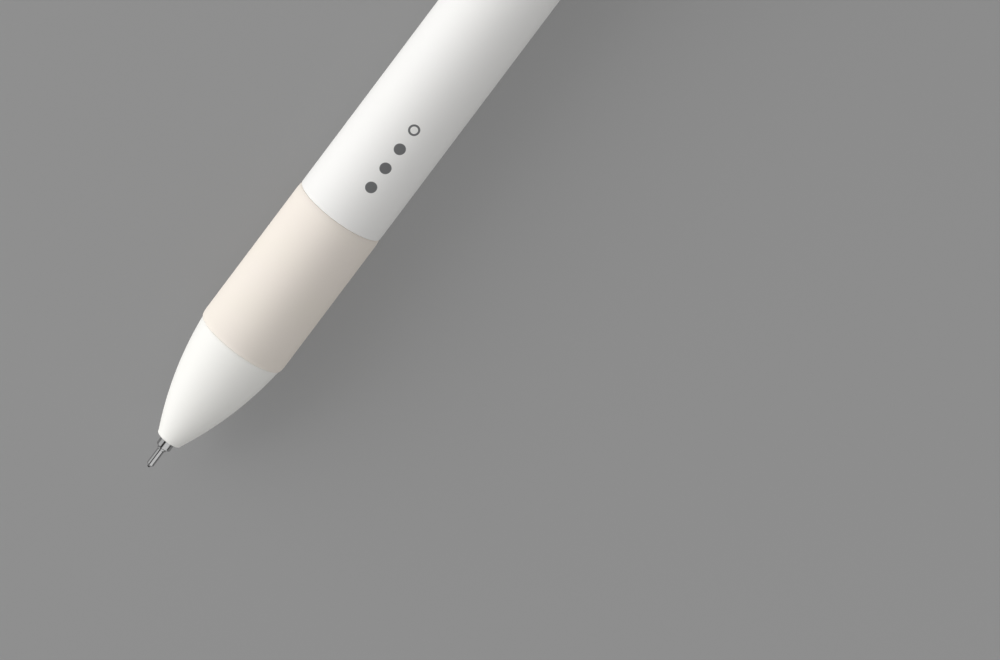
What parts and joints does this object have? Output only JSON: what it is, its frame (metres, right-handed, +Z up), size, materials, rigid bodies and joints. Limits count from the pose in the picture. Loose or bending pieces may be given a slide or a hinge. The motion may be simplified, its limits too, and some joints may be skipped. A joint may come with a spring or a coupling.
{
  "type": "multifunction pen",
  "caption": "Multifunction pen lying on its side: gel refills and a pencil in one barrel, soft grip, tapered nose, push-down knobs, a clip that works the pencil and a cap over an eraser.",
  "frame": {"origin": "on the table, under the middle of the pen's box with the black point out", "axes": "+X along the pen's axis towards the writing point, +Z up, with the clip and the black knob on the upper half"},
  "size_m": [0.1484, 0.0153, 0.0153],
  "materials": {
    "white_plastic": "matt white moulded plastic",
    "grip_rubber": "soft warm off-white rubber, silky and matt",
    "inner_plastic": "pale grey moulded plastic",
    "steel": "bright turned steel",
    "brass": "turned brass",
    "black_plastic": "black moulded plastic",
    "blue_plastic": "blue moulded plastic",
    "red_plastic": "red moulded plastic",
    "clear_tube_black": "translucent tube holding black gel",
    "clear_tube_blue": "translucent tube holding blue gel",
    "clear_tube_red": "translucent tube holding red gel",
    "eraser_rubber": "soft white eraser",
    "graphite": "dark grey pencil lead"
  },
  "bodies": {
    "rear_body": {"rear_barrel": "white_plastic", "guide": "inner_plastic", "latch_post": "steel", "eraser_holder": "inner_plastic", "eraser": "eraser_rubber", "spring_black": "steel", "spring_blue": "steel", "spring_red": "steel", "spring_pencil": "steel"},
    "front_body": {"nose_cone": "white_plastic", "grip_sleeve": "grip_rubber", "front_barrel": "white_plastic"},
    "cap": {"end_cap": "white_plastic"},
    "black_slider": {"slider_black": "black_plastic", "plunger_black": "inner_plastic", "gel_tube_black": "clear_tube_black"},
    "black_point": {"gel_point_black": "steel"},
    "blue_slider": {"slider_blue": "blue_plastic", "plunger_blue": "inner_plastic", "gel_tube_blue": "clear_tube_blue"},
    "blue_point": {"gel_point_blue": "steel"},
    "red_slider": {"slider_red": "red_plastic", "plunger_red": "inner_plastic", "gel_tube_red": "clear_tube_red"},
    "red_point": {"gel_point_red": "steel"},
    "pencil_slider": {"slider_pencil": "white_plastic", "plunger_pencil": "inner_plastic", "lead_tube": "inner_plastic"},
    "clip_arm": {"clip": "white_plastic"},
    "pencil_point": {"pencil_tip": "steel", "clutch_ring": "steel", "clutch_spring": "steel"},
    "pencil_chuck": {"chuck": "brass", "lead": "graphite"}
  },
  "joints": [
    {"name": "front_pull", "type": "slide", "parent": "rear_body", "child": "front_body", "axis": [1, 0, 0], "range_m": [0, 0.1]},
    {"name": "cap_pull", "type": "slide", "parent": "rear_body", "child": "cap", "axis": [-1, 0, 0], "range_m": [0, 0.012]},
    {"name": "black_slide", "type": "slide", "parent": "rear_body", "child": "black_slider", "axis": [1, 0, 0], "range_m": [-0.0095, 0], "deforming": ["spring_black", "gel_tube_black", "gel_point_black"]},
    {"name": "black_centring", "type": "slide", "parent": "black_slider", "child": "black_point", "axis": [0, 0.7071, 0.7071], "range_m": [0, 0.0025]},
    {"name": "blue_slide", "type": "slide", "parent": "rear_body", "child": "blue_slider", "axis": [1, 0, 0], "range_m": [0, 0.0095], "deforming": ["spring_blue", "gel_tube_blue", "gel_point_blue"]},
    {"name": "blue_centring", "type": "slide", "parent": "blue_slider", "child": "blue_point", "axis": [0, 0.7071, -0.7071], "range_m": [-0.0025, 0]},
    {"name": "red_slide", "type": "slide", "parent": "rear_body", "child": "red_slider", "axis": [1, 0, 0], "range_m": [0, 0.0095], "deforming": ["spring_red", "gel_tube_red", "gel_point_red"]},
    {"name": "red_centring", "type": "slide", "parent": "red_slider", "child": "red_point", "axis": [0, -0.7071, -0.7071], "range_m": [-0.0025, 0]},
    {"name": "pencil_slide", "type": "slide", "parent": "rear_body", "child": "pencil_slider", "axis": [1, 0, 0], "range_m": [0, 0.0095], "deforming": ["spring_pencil", "lead_tube", "pencil_tip", "clutch_ring", "chuck", "lead"]},
    {"name": "pencil_centring", "type": "slide", "parent": "pencil_slider", "child": "pencil_point", "axis": [0, -0.7071, 0.7071], "range_m": [-0.0025, 0]},
    {"name": "clip_flex", "type": "hinge", "parent": "pencil_slider", "child": "clip_arm", "pos_m": [-0.05982, -0.00495, 0.01273], "axis": [0, -0.7071, -0.7071], "range_deg": [0, 5], "stiffness_Nm_per_rad": 1.5},
    {"name": "lead_click", "type": "slide", "parent": "pencil_point", "child": "pencil_chuck", "axis": [1, 0, 0], "range_m": [0, 0.0008], "stiffness_N_per_m": 100, "deforming": ["clutch_spring"]}
  ],
  "couplings": [
    {"joint": "black_centring", "follows": "black_slide", "ratio": -0.26316},
    {"joint": "blue_centring", "follows": "blue_slide", "ratio": -0.26316},
    {"joint": "red_centring", "follows": "red_slide", "ratio": -0.26316},
    {"joint": "pencil_centring", "follows": "pencil_slide", "ratio": -0.26316}
  ]
}
